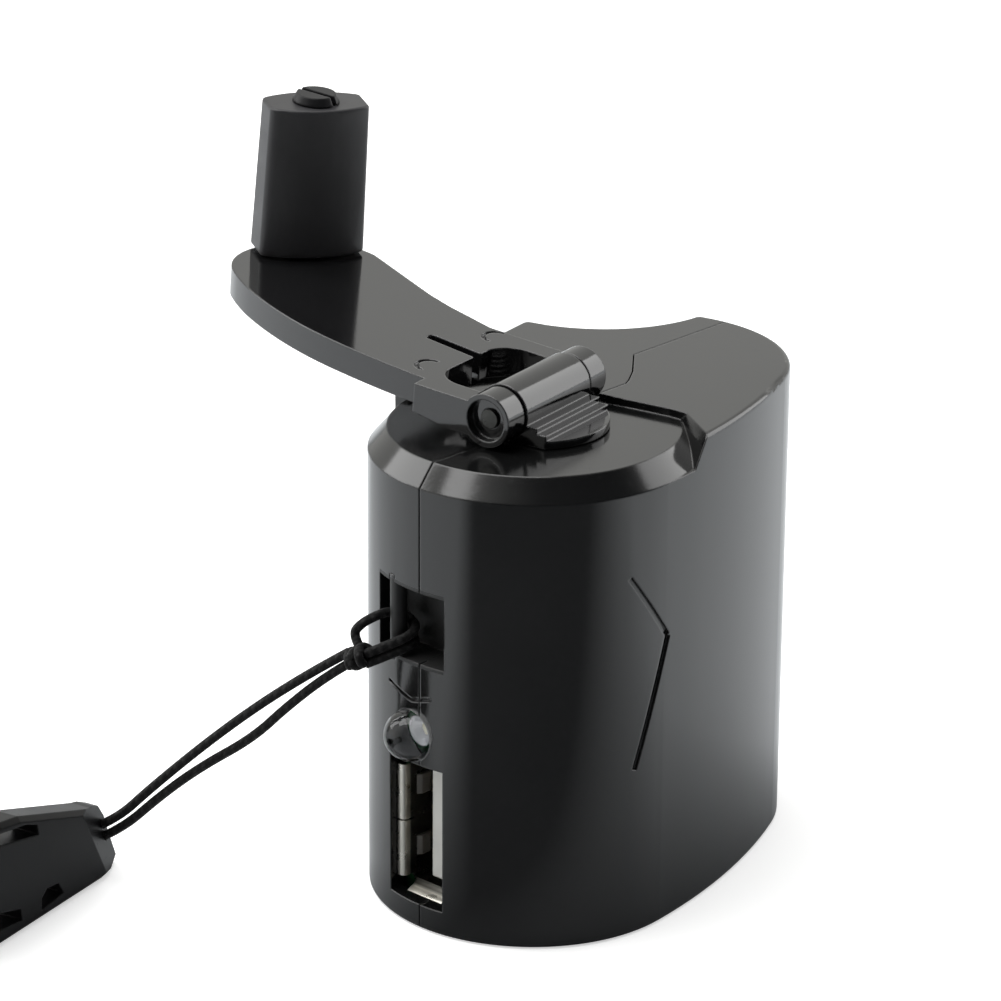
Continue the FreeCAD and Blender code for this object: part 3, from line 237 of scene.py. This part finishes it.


def metal(name, base, rough, stretch=(1.0, 1.0, 1.0), lines=900.0, edge=0.00012, tarnish=0.6, shade_past=None):
    """Plated or bare metal with rubbed edges; with an X given, it is darkened past that X by painted shade, as
    the shade inside a port.
    """
    g = Graph(name)
    brushed = g.noise(lines, 3.0, 0.6, g.stretch(stretch))
    cloud = g.noise(160.0, 4.0)
    dull = tuple(c * tarnish for c in base)
    colour = g.mix(g.ranged(cloud, 0.3, 0.62, 0.0, 1.0), dull, base)
    bright = tuple(min(1.0, c * 1.15) for c in base)
    if shade_past is None:
        colour = g.mix(g.times(g.edges(edge), g.ranged(cloud, 0.3, 0.7, 0.3, 0.9)), colour, bright)
    else:
        # painted shade: past the given X the metal is darkened, standing in for the shade inside the port
        inside = g.ranged(g.axes()["X"], shade_past - PORT_SHADE_SOFT, shade_past + PORT_SHADE_SOFT, 0.0, 1.0)
        colour = g.mix(inside, colour, tuple(c * PORT_SHADE_DARK for c in base))
    gloss = g.ranged(brushed, 0.3, 0.7, rough * 0.75, rough * 1.35)
    normal = g.bump(brushed, 0.000003, 0.5, g.rounded(edge))
    return g.set(Base_Color=colour, Metallic=1.0, Roughness=gloss, Normal=normal)


def clear(name):
    """Clear epoxy with a faint cloud; lamps shine through it on what is inside."""
    g = Graph(name)
    cloud = g.noise(500.0, 3.0)
    tint = g.mix(g.ranged(cloud, 0.3, 0.7, 0.0, 1.0), (0.93, 0.95, 0.97), (0.985, 0.99, 1.0))
    gloss = g.ranged(cloud, 0.3, 0.7, 0.015, 0.05)
    normal = g.bump(g.noise(900.0, 2.0), 0.000004, 0.4)
    g.set(Base_Color=tint, Roughness=gloss, Transmission_Weight=1.0, IOR=1.5, Normal=normal)
    g.pick("Is Shadow Ray", g.node("ShaderNodeBsdfTransparent"))
    return g.mat


def braid(name, base):
    """Braided cord: crossed strands, fibre noise, dusty fuzz."""
    g = Graph(name)
    left = g.node("ShaderNodeTexWave", wave_type="BANDS", bands_direction="DIAGONAL")
    right = g.node("ShaderNodeTexWave", wave_type="BANDS", bands_direction="DIAGONAL")
    for wave, turn in ((left, (0.4, 0.2, 0.9)), (right, (0.4, 0.2, -0.9))):
        m = g.node("ShaderNodeMapping")
        m.inputs["Rotation"].default_value = turn
        g.link(g.place, m.inputs["Vector"])
        g.link(m.outputs["Vector"], wave.inputs["Vector"])
        wave.inputs["Scale"].default_value = 560.0
        wave.inputs["Distortion"].default_value = 1.4
        wave.inputs["Detail"].default_value = 2.0
    weave = g.times(left.outputs["Fac"], right.outputs["Fac"])
    fibre = g.noise(6500.0, 3.0)
    low, high = tuple(c * 0.5 for c in base), tuple(c * 1.6 + 0.003 for c in base)
    dusty = tuple(c * 2.2 + 0.012 for c in base)
    tone = g.mix(g.ranged(weave, 0.1, 0.8, 0.0, 1.0), low, high)
    tone = g.mix(g.ranged(fibre, 0.62, 0.78, 0.0, 0.5), tone, dusty)
    normal = g.bump(g.math("ADD", weave, fibre), 0.00009, 0.8)
    rough = g.ranged(fibre, 0.3, 0.7, 0.55, 0.8)
    return g.set(Base_Color=tone, Roughness=rough, Normal=normal, Sheen_Weight=0.06, IOR=1.36)


LOOKS = {
    "housing_abs": plastic("housing_abs", (0.0055, 0.0057, 0.0058), 0.12, spread=0.03, ior=1.68,
                           hollow=((-16.2, -2.86, 26.64), (-10.0, 6.3, 34.36))),
    "crank_abs": plastic("crank_abs", (0.0065, 0.0065, 0.007), 0.08, worn=2.0, spread=0.025, ior=1.82),
    "knob_abs": plastic("knob_abs", (0.034, 0.0335, 0.036), 0.38, grain=0.000006, grain_scale=3000.0, ior=1.46),
    "acetal": plastic("acetal", (0.74, 0.72, 0.66), 0.38, worn=1.05),
    "steel": metal("steel", (0.56, 0.565, 0.57), 0.28, (1.0, 1.0, 8.0)),
    "black_steel": metal("black_steel", (0.10, 0.10, 0.095), 0.32),
    "brass": metal("brass", (0.74, 0.55, 0.26), 0.25),
    "magnet": plastic("magnet", (0.055, 0.053, 0.05), 0.6, grain=0.00002, grain_scale=1800.0),
    "rotor": metal("rotor", (0.5, 0.26, 0.12), 0.4, (1.0, 1.0, 60.0), lines=300.0),
    "nylon": plastic("nylon", (0.09, 0.09, 0.088), 0.5),
    # the nickel inside the port, past X -13.2 mm, is darkened with painted shade
    "nickel": metal("nickel", (0.86, 0.83, 0.75), 0.3, (1.0, 1.0, 1.0), lines=700.0, edge=0.00003,
                    tarnish=0.9, shade_past=-0.0132),
    "white_pbt": plastic("white_pbt", (0.72, 0.72, 0.69), 0.36, worn=1.0),
    "led_epoxy": clear("led_epoxy"),
    "fr4": plastic("fr4", (0.02, 0.13, 0.045), 0.3, worn=2.4),
    "chip_epoxy": plastic("chip_epoxy", (0.018, 0.018, 0.018), 0.55, grain=0.00002, grain_scale=2600.0),
    "can_aluminium": metal("can_aluminium", (0.8, 0.81, 0.83), 0.22),
    "wire_pvc": plastic("wire_pvc", (0.42, 0.02, 0.015), 0.42, worn=1.2),
    "cord_nylon": braid("cord_nylon", (0.0042, 0.004, 0.0043)),
    "clip_abs": plastic("clip_abs", (0.0042, 0.0039, 0.0045), 0.36, worn=2.2, spread=0.04, ior=1.28),
}
# single pieces that look different from the rest of their slot
STUD_LOOK = plastic("stud_black", (0.008, 0.008, 0.009), 0.4, ior=1.35)
SPRING_LOOK = plastic("spring_plate", (0.13, 0.12, 0.105), 0.35, ior=1.9)
CUP_LOOK = plastic("cup_silver", (0.2, 0.21, 0.225), 0.16, ior=2.2)
DIE_LOOK = plastic("die_pale", (0.5, 0.49, 0.4), 0.5, worn=1.1)
BASE_LOOK = plastic("lamp_back", (0.05, 0.052, 0.056), 0.3, ior=1.7)
NODE_LOOKS = {"knob_stud": STUD_LOOK}

node_slot = {s["node"]: s["material_slot"] for s in frame["record"]["subparts"]}
for node, obj in nodes.items():
    obj.data.materials.clear()
    obj.data.materials.append(NODE_LOOKS.get(node) or LOOKS[node_slot[node]])


# ---------------------------------------------------------------- pieces
def piece(name, mesh, body, slot_name, look=None):
    """A visible piece that rides on a body, in its slot's look or in its own."""
    obj = bpy.data.objects.new(name, mesh)
    bpy.context.collection.objects.link(obj)
    mesh.materials.clear()
    mesh.materials.append(look or LOOKS[slot_name])
    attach(obj, body)
    return obj


def mm(*values):
    return Vector(v * MM for v in values)


def mesh_of(bm, name, smooth=False):
    bmesh.ops.recalc_face_normals(bm, faces=bm.faces)
    mesh = bpy.data.meshes.new(name)
    bm.to_mesh(mesh)
    bm.free()
    if smooth:
        for face in mesh.polygons:
            face.use_smooth = True
    return mesh


def skin(bm, name, rings, closed):
    """A smooth mesh over rings of vertices; it runs back into its start, or gets two end caps."""
    pairs = list(zip(rings[:-1], rings[1:]))
    if closed:
        pairs.append((rings[-1], rings[0]))
    else:
        bm.faces.new(rings[0][::-1])
        bm.faces.new(rings[-1])
    for r0, r1 in pairs:
        for k in range(len(r0)):
            n = (k + 1) % len(r0)
            bm.faces.new((r0[k], r0[n], r1[n], r1[k]))
    return mesh_of(bm, name, smooth=True)


def finished(obj, width, segments=3, angle=32.0):
    """Eases the sharp edges of a piece and keeps its flats flat."""
    for face in obj.data.polygons:
        face.use_smooth = True
    bevel = obj.modifiers.new("ease", "BEVEL")
    bevel.width = width
    bevel.segments = segments
    bevel.limit_method = "ANGLE"
    bevel.angle_limit = math.radians(angle)
    bevel.harden_normals = True
    even = obj.modifiers.new("even", "WEIGHTED_NORMAL")
    even.mode = "FACE_AREA"
    even.weight = 100
    view = bpy.context.evaluated_depsgraph_get()
    baked = bpy.data.meshes.new_from_object(
        obj.evaluated_get(view), preserve_all_data_layers=True, depsgraph=view)
    obj.modifiers.clear()
    obj.data = baked


def eased(node, body, width):
    """The CAD piece again, with its sharp edges eased, in place of the plain one."""
    mesh = nodes[node].data.copy()
    bm = bmesh.new()
    bm.from_mesh(mesh)
    bmesh.ops.remove_doubles(bm, verts=bm.verts, dist=1e-6)
    bmesh.ops.dissolve_limit(bm, angle_limit=math.radians(0.6), verts=bm.verts, edges=bm.edges)
    bm.to_mesh(mesh)
    bm.free()
    obj = piece(node + "_eased", mesh, body, node_slot[node])
    finished(obj, width)
    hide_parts(node)
    return obj


def prisms(name, shapes, body, slot_name, width=None, look=None):
    """One piece of several straight bars: each shape is a profile of points and the way it runs, in mm."""
    bm = bmesh.new()
    for profile, run in shapes:
        near = [bm.verts.new(mm(*at)) for at in profile]
        far = [bm.verts.new(mm(*at) + mm(*run)) for at in profile]
        for k in range(len(profile)):
            n = (k + 1) % len(profile)
            bm.faces.new((near[k], near[n], far[n], far[k]))
        bm.faces.new(near[::-1])
        bm.faces.new(far)
    obj = piece(name, mesh_of(bm, name), body, slot_name, look)
    if width:
        finished(obj, width, 2)
    return obj


# ---------------------------------------------------------------- lanyard
CORD_R = 0.45
# each cord's control points, in mm
ROUTES = {
    "strand_a": [
        (-18.1, 6.45, 27.1), (-19.14, 9.65, 24.77), (-21.31, 15.34, 20.06), (-23.41, 20.86, 14.82),
        (-25.42, 26.13, 9.35), (-26.61, 29.24, 5.83), (-27.45, 31.4, 4.5)],
    "strand_b": [
        (-18.0, 6.3, 26.1), (-18.9, 8.6, 24.3), (-20.22, 12.47, 20.51), (-21.5, 15.85, 16.64),
        (-23.44, 20.93, 12.75), (-24.96, 24.92, 9.04), (-26.56, 29.1, 4.51), (-27.6, 31.9, 2.9)],
    "hitch_a": [
        (-17.6, 5.4, 27.6), (-17.4, 6.7, 28.6), (-17.0, 5.9, 29.8), (-15.7, 5.2, 30.4), (-13.9, 5.25, 30.3),
        (-12.8, 4.0, 29.9), (-13.2, 2.4, 29.4), (-14.5, 2.0, 28.95), (-16.4, 3.3, 28.1), (-17.7, 4.7, 27.3)],
    "hitch_b": [
        (-12.75, 3.9, 28.2), (-13.2, 2.4, 28.1), (-14.5, 2.0, 27.95), (-16.4, 3.3, 27.1), (-17.7, 4.7, 26.3)],
}


def curve(name, points, radius):
    """A round cord along the points, in place of its plain CAD piece."""
    data = bpy.data.curves.new(name, "CURVE")
    data.dimensions = "3D"
    spline = data.splines.new("NURBS")
    spline.points.add(len(points) - 1)
    for point, at in zip(spline.points, points):
        point.co = (*mm(*at), 1.0)
    spline.order_u = 3
    spline.use_endpoint_u = True
    spline.resolution_u = 12
    data.bevel_depth = radius * MM
    data.bevel_resolution = 5
    data.use_fill_caps = True
    obj = bpy.data.objects.new(name, data)
    bpy.context.collection.objects.link(obj)
    data.materials.append(LOOKS["cord_nylon"])
    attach(obj, "housing")
    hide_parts("cord_" + name)
    return obj


def route_of(obj):
    """The points of a cord's own line."""
    bare = obj.data.copy()
    bare.bevel_depth = 0.0
    temp = bpy.data.objects.new("line", bare)
    mesh = bpy.data.meshes.new_from_object(temp)
    points = [v.co.copy() for v in mesh.vertices]
    bpy.data.objects.remove(temp)
    return points


def sweep(points, radius, sides=10):
    """A mesh tube along the points."""
    bm = bmesh.new()
    rings = []
    up = Vector((0.3, 0.2, 0.9))
    for i, p in enumerate(points):
        along = (points[min(i + 1, len(points) - 1)] - points[max(i - 1, 0)]).normalized()
        side = along.cross(up).normalized()
        up = side.cross(along).normalized()
        turns = [2 * math.pi * k / sides for k in range(sides)]
        rings.append([bm.verts.new(p + (side * math.cos(t) + up * math.sin(t)) * radius) for t in turns])
    return skin(bm, "tube", rings, closed=False)


cords = {name: curve(name, points, CORD_R) for name, points in ROUTES.items()}

# the knot: the cord wound on itself round the way it runs, a little unevenly
KNOT_AT = mm(-17.95, 5.35, 26.9)
KNOT_TURNS, KNOT_STEPS, KNOT_LONG, KNOT_SPREAD, KNOT_CORD_R = 2.6, 78, 1.75, 0.78, 0.44
knot_axis = mm(-0.4, 2.4, -1.5).normalized()
knot_side = knot_axis.cross(Vector((0, 0, 1))).normalized()
knot_up = knot_side.cross(knot_axis)
wound = []
for i in range(KNOT_STEPS + 1):
    t = i / KNOT_STEPS
    a = 2 * math.pi * KNOT_TURNS * t
    spread = KNOT_SPREAD + 0.12 * math.sin(2 * a + 0.8)
    along = (t - 0.5) * KNOT_LONG + 0.22 * math.sin(a * 1.5)
    across = (knot_side * math.cos(a) + knot_up * math.sin(a)) * spread
    wound.append(KNOT_AT + (across + knot_axis * along) * MM)
knot = piece("knot_wraps", sweep(wound, KNOT_CORD_R * MM), "housing", "cord_nylon")
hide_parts("cord_knot")

for name in ("strand_a", "strand_b"):
    line = route_of(cords[name])


# ---------------------------------------------------------------- crank pieces, each with its easing
eased("crank_arm", "arm", 0.5 * MM)
eased("knob", "knob", 0.3 * MM)
eased("crank_hub", "crank", 0.07 * MM)

# ---------------------------------------------------------------- port, in mm
PORT_Y, PORT_Z = 0.75, 9.65     # its middle
IN_Y, IN_Z = 2.55, 6.25         # half the bore
SHEET = 0.3
LIP_X, TUBE_START, TUBE_END = -14.05, -12.7, -0.75
SIDE_LIPS = [(-5.9, 5.7), (-0.06, 5.66)]    # from the middle: where each starts and how tall it is
END_LIP = 4.4                   # how wide the lips above and below are
# the lips' side views: (X, how far out of the bore), inner side then outer side
FLARE = [
    (-12.6, 0.0), (-13.6, 0.02), (-13.85, 0.14), (-14.0, 0.4), (LIP_X, 0.88),
    (-13.8, 0.88), (-13.75, 0.62), (-13.62, 0.42), (-13.35, SHEET), (-12.6, SHEET)]
SHORT_FLARE = [
    (-12.6, 0.0), (-12.9, 0.2), (-13.2, 0.5), (-13.7, 0.66), (LIP_X, 0.88),
    (-13.8, 0.88), (-13.55, 0.84), (-13.2, 0.74), (-12.9, 0.46), (-12.6, SHEET)]
port = []
for sign in (1, -1):
    side, end = PORT_Y + sign * IN_Y, PORT_Z + sign * IN_Z
    for start, tall in SIDE_LIPS:
        port.append(([(x, side + sign * out, PORT_Z + start) for x, out in FLARE], (0, 0, tall)))
    port.append(([(x, PORT_Y - END_LIP / 2, end + sign * out) for x, out in SHORT_FLARE], (0, END_LIP, 0)))
    sheet = [(TUBE_START, 0), (TUBE_END, 0), (TUBE_END, sign * SHEET), (TUBE_START, sign * SHEET)]
    port.append(([(x, side + out, PORT_Z - IN_Z) for x, out in sheet], (0, 0, 2 * IN_Z)))
    port.append(([(x, PORT_Y - IN_Y, end + out) for x, out in sheet], (0, 2 * IN_Y, 0)))
port_piece = prisms("port_shell", port, "housing", "nickel", 0.05 * MM)
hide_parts("usb_shell")

# two leaf springs stand in from the side wall: (X, how far in)
SPRING = [(-12.35, 0.1), (-12.0, 0.42), (-10.9, 0.42), (-10.4, 0.05), (-10.4, 0.0), (-12.35, 0.0)]
SPRING_Z, SPRING_TALL = (5.55, 11.85), 2.0
springs = [([(x, PORT_Y + IN_Y - far, z) for x, far in SPRING], (0, 0, SPRING_TALL)) for z in SPRING_Z]
prisms("port_springs", springs, "housing", "nickel", 0.06 * MM, SPRING_LOOK)

# the tongue: its closed tip, a blade with a groove for each contact, and the block behind it
TIP_X, GROOVE_X, BLOCK_X, BLOCK_DEEP = -13.1, -13.0, -3.2, 2.15
BLADE_Y, BLADE_Z = (-1.25, 0.5), (4.55, 15.85)
GROOVE_Y, GROOVE_HALF, CONTACT_Z = 0.38, 0.6, (6.7, 9.2, 11.2, 13.7)


def upright(x, ys, zs):
    """A rectangle that faces along X."""
    (y0, y1), (z0, z1) = ys, zs
    return [(x, y0, z0), (x, y1, z0), (x, y1, z1), (x, y0, z1)]


blade = upright(GROOVE_X, BLADE_Y, BLADE_Z)
grooves = []
for z in CONTACT_Z:
    low, high = z - GROOVE_HALF, z + GROOVE_HALF
    corners = [(BLADE_Y[1], low), (GROOVE_Y, low), (GROOVE_Y, high), (BLADE_Y[1], high)]
    grooves += [(GROOVE_X, y, at) for y, at in corners]
blade[2:2] = grooves
block = upright(BLOCK_X, (PORT_Y - IN_Y, PORT_Y + IN_Y), (PORT_Z - IN_Z, PORT_Z + IN_Z))
tongue = prisms("port_tongue", [
    (blade, (BLOCK_X - GROOVE_X, 0, 0)),
    (upright(TIP_X, BLADE_Y, BLADE_Z), (GROOVE_X - TIP_X, 0, 0)),
    (block, (BLOCK_DEEP, 0, 0))], "housing", "white_pbt")
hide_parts("usb_tongue")

# ---------------------------------------------------------------- inside the lamp
low, high = (Vector(c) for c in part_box("led_lens"))
LAMP_Y, LAMP_Z = (low.y + high.y) / 2, (low.z + high.z) / 2
LAMP_SIDES = 32


def turned(name, profile, x0, look, ring_shaped=False):
    """A turned piece along X: (x, radius) pairs in mm from x0, centred on the lamp."""
    bm = bmesh.new()
    rings = []
    for x, r in profile:
        turns = [2 * math.pi * k / LAMP_SIDES for k in range(LAMP_SIDES)]
        rings.append([
            bm.verts.new(mm(x0 + x, r * math.cos(t), r * math.sin(t)) + Vector((0, LAMP_Y, LAMP_Z)))
            for t in turns])
    return piece(name, skin(bm, name, rings, ring_shaped), "housing", "steel", look)


CUP = [(0.9, 0.84), (1.0, 0.9), (1.6, 0.6), (2.6, 0.55), (2.6, 0.15), (1.5, 0.15), (1.45, 0.4), (1.02, 0.76)]
DIE = [(0.0, 0.08), (0.02, 0.3), (0.16, 0.34), (0.24, 0.3), (0.24, 0.1)]
BACK = [(0.0, 0.6), (0.0, 2.1), (0.3, 2.2), (0.5, 2.2), (0.5, 0.6)]
turned("lamp_cup", CUP, -15.5, CUP_LOOK, ring_shaped=True)
turned("lamp_die", DIE, -14.25, DIE_LOOK)
turned("lamp_base", BACK, -12.85, BASE_LOOK, ring_shaped=True)


# ---------------------------------------------------------------- stage and light
def softbox(name, at, width, height, power):
    """A rectangular lamp that points at the object."""
    data = bpy.data.lights.new(name, "AREA")
    data.shape = "RECTANGLE"
    data.size = width
    data.size_y = height
    data.energy = power
    obj = bpy.data.objects.new(name, data)
    at = Vector(at)
    turn = (CENTRE - at).to_track_quat("-Z", "Y").to_matrix().to_4x4()
    obj.matrix_world = Matrix.Translation(at) @ turn
    bpy.context.collection.objects.link(obj)


CENTRE = Vector((0.005, 0.01, 0.03))
softbox("top_light", (-0.12, 0.2, 0.72), 0.66, 0.66, 4.0)
softbox("left_light", (-0.26, 0.65, 0.42), 0.42, 0.5, 1.7)
softbox("right_light", (0.72, -0.28, 0.33), 0.5, 0.66, 2.1)

# the world is white to the camera and through glass; as light it is pale, and dark before the front face
FRONT_WAY = (-0.3, -0.954, 0.0)
WORLD_TONES = [(0.42, (0.75, 0.75, 0.725, 1)), (0.72, (0.05, 0.052, 0.055, 1))]


def studio():
    world = bpy.data.worlds.new("studio")
    bpy.context.scene.world = world
    world.use_nodes = True
    tree = world.node_tree
    tree.nodes.clear()
    node, link = tree.nodes.new, tree.links.new
    facing = node("ShaderNodeVectorMath")
    facing.operation = "DOT_PRODUCT"
    facing.inputs[1].default_value = FRONT_WAY
    link(node("ShaderNodeTexCoord").outputs["Generated"], facing.inputs[0])
    share = node("ShaderNodeMapRange")
    share.inputs["From Min"].default_value = -1.0
    share.inputs["From Max"].default_value = 1.0
    link(facing.outputs["Value"], share.inputs["Value"])
    tones = node("ShaderNodeValToRGB")
    for element, (position, colour) in zip(tones.color_ramp.elements, WORLD_TONES):
        element.position = position
        element.color = colour
    link(share.outputs["Result"], tones.inputs["Fac"])
    soft = node("ShaderNodeBackground")
    link(tones.outputs["Color"], soft.inputs["Color"])
    white = node("ShaderNodeBackground")
    white.inputs["Color"].default_value = (1, 1, 1, 1)
    white.inputs["Strength"].default_value = 1.0
    path = node("ShaderNodeLightPath")
    seen = node("ShaderNodeMath")
    seen.operation = "MAXIMUM"
    link(path.outputs["Is Camera Ray"], seen.inputs[0])
    link(path.outputs["Is Transmission Ray"], seen.inputs[1])
    mix = node("ShaderNodeMixShader")
    link(seen.outputs[0], mix.inputs["Fac"])
    link(soft.outputs[0], mix.inputs[1])
    link(white.outputs[0], mix.inputs[2])
    link(mix.outputs[0], node("ShaderNodeOutputWorld").inputs["Surface"])


studio()

FLOOR_HALF, FLOOR_DROP, FLOOR_GLOW = 3.0, 0.00005, 0.56
FLOOR_DARK, FLOOR_PALE = (0.1, 0.104, 0.11), (0.92, 0.95, 0.98)


def floor():
    bm = bmesh.new()
    bmesh.ops.create_grid(bm, x_segments=1, y_segments=1, size=FLOOR_HALF)
    mesh = bpy.data.meshes.new("floor")
    bm.to_mesh(mesh)
    bm.free()
    obj = bpy.data.objects.new("floor", mesh)
    obj.location.z = -FLOOR_DROP
    bpy.context.collection.objects.link(obj)
    g = Graph("floor_paint")
    g.set(Base_Color=(0.88, 0.88, 0.88), Roughness=0.9)
    glow = g.node("ShaderNodeEmission")
    glow.inputs["Strength"].default_value = FLOOR_GLOW
    add = g.node("ShaderNodeAddShader")
    g.link(g.shader.outputs[0], add.inputs[0])
    g.link(glow.outputs[0], add.inputs[1])
    # in reflections the floor is pale behind the object and beside it, and dark before its front face
    at = g.axes()
    beside = g.ranged(at["X"], -0.025, 0.045, 0.0, 1.0)
    behind = g.ranged(at["Y"], -0.006, 0.016, 0.0, 0.74)
    mirrored = g.node("ShaderNodeBsdfDiffuse")
    g.link(g.mix(g.math("MAXIMUM", beside, behind), FLOOR_DARK, FLOOR_PALE), mirrored.inputs["Color"])
    for ray, other in (("Is Glossy Ray", mirrored), ("Is Camera Ray", add), ("Is Transmission Ray", add)):
        g.pick(ray, other)
    mesh.materials.append(g.mat)


floor()
bpy.context.scene.view_settings.view_transform = "Standard"
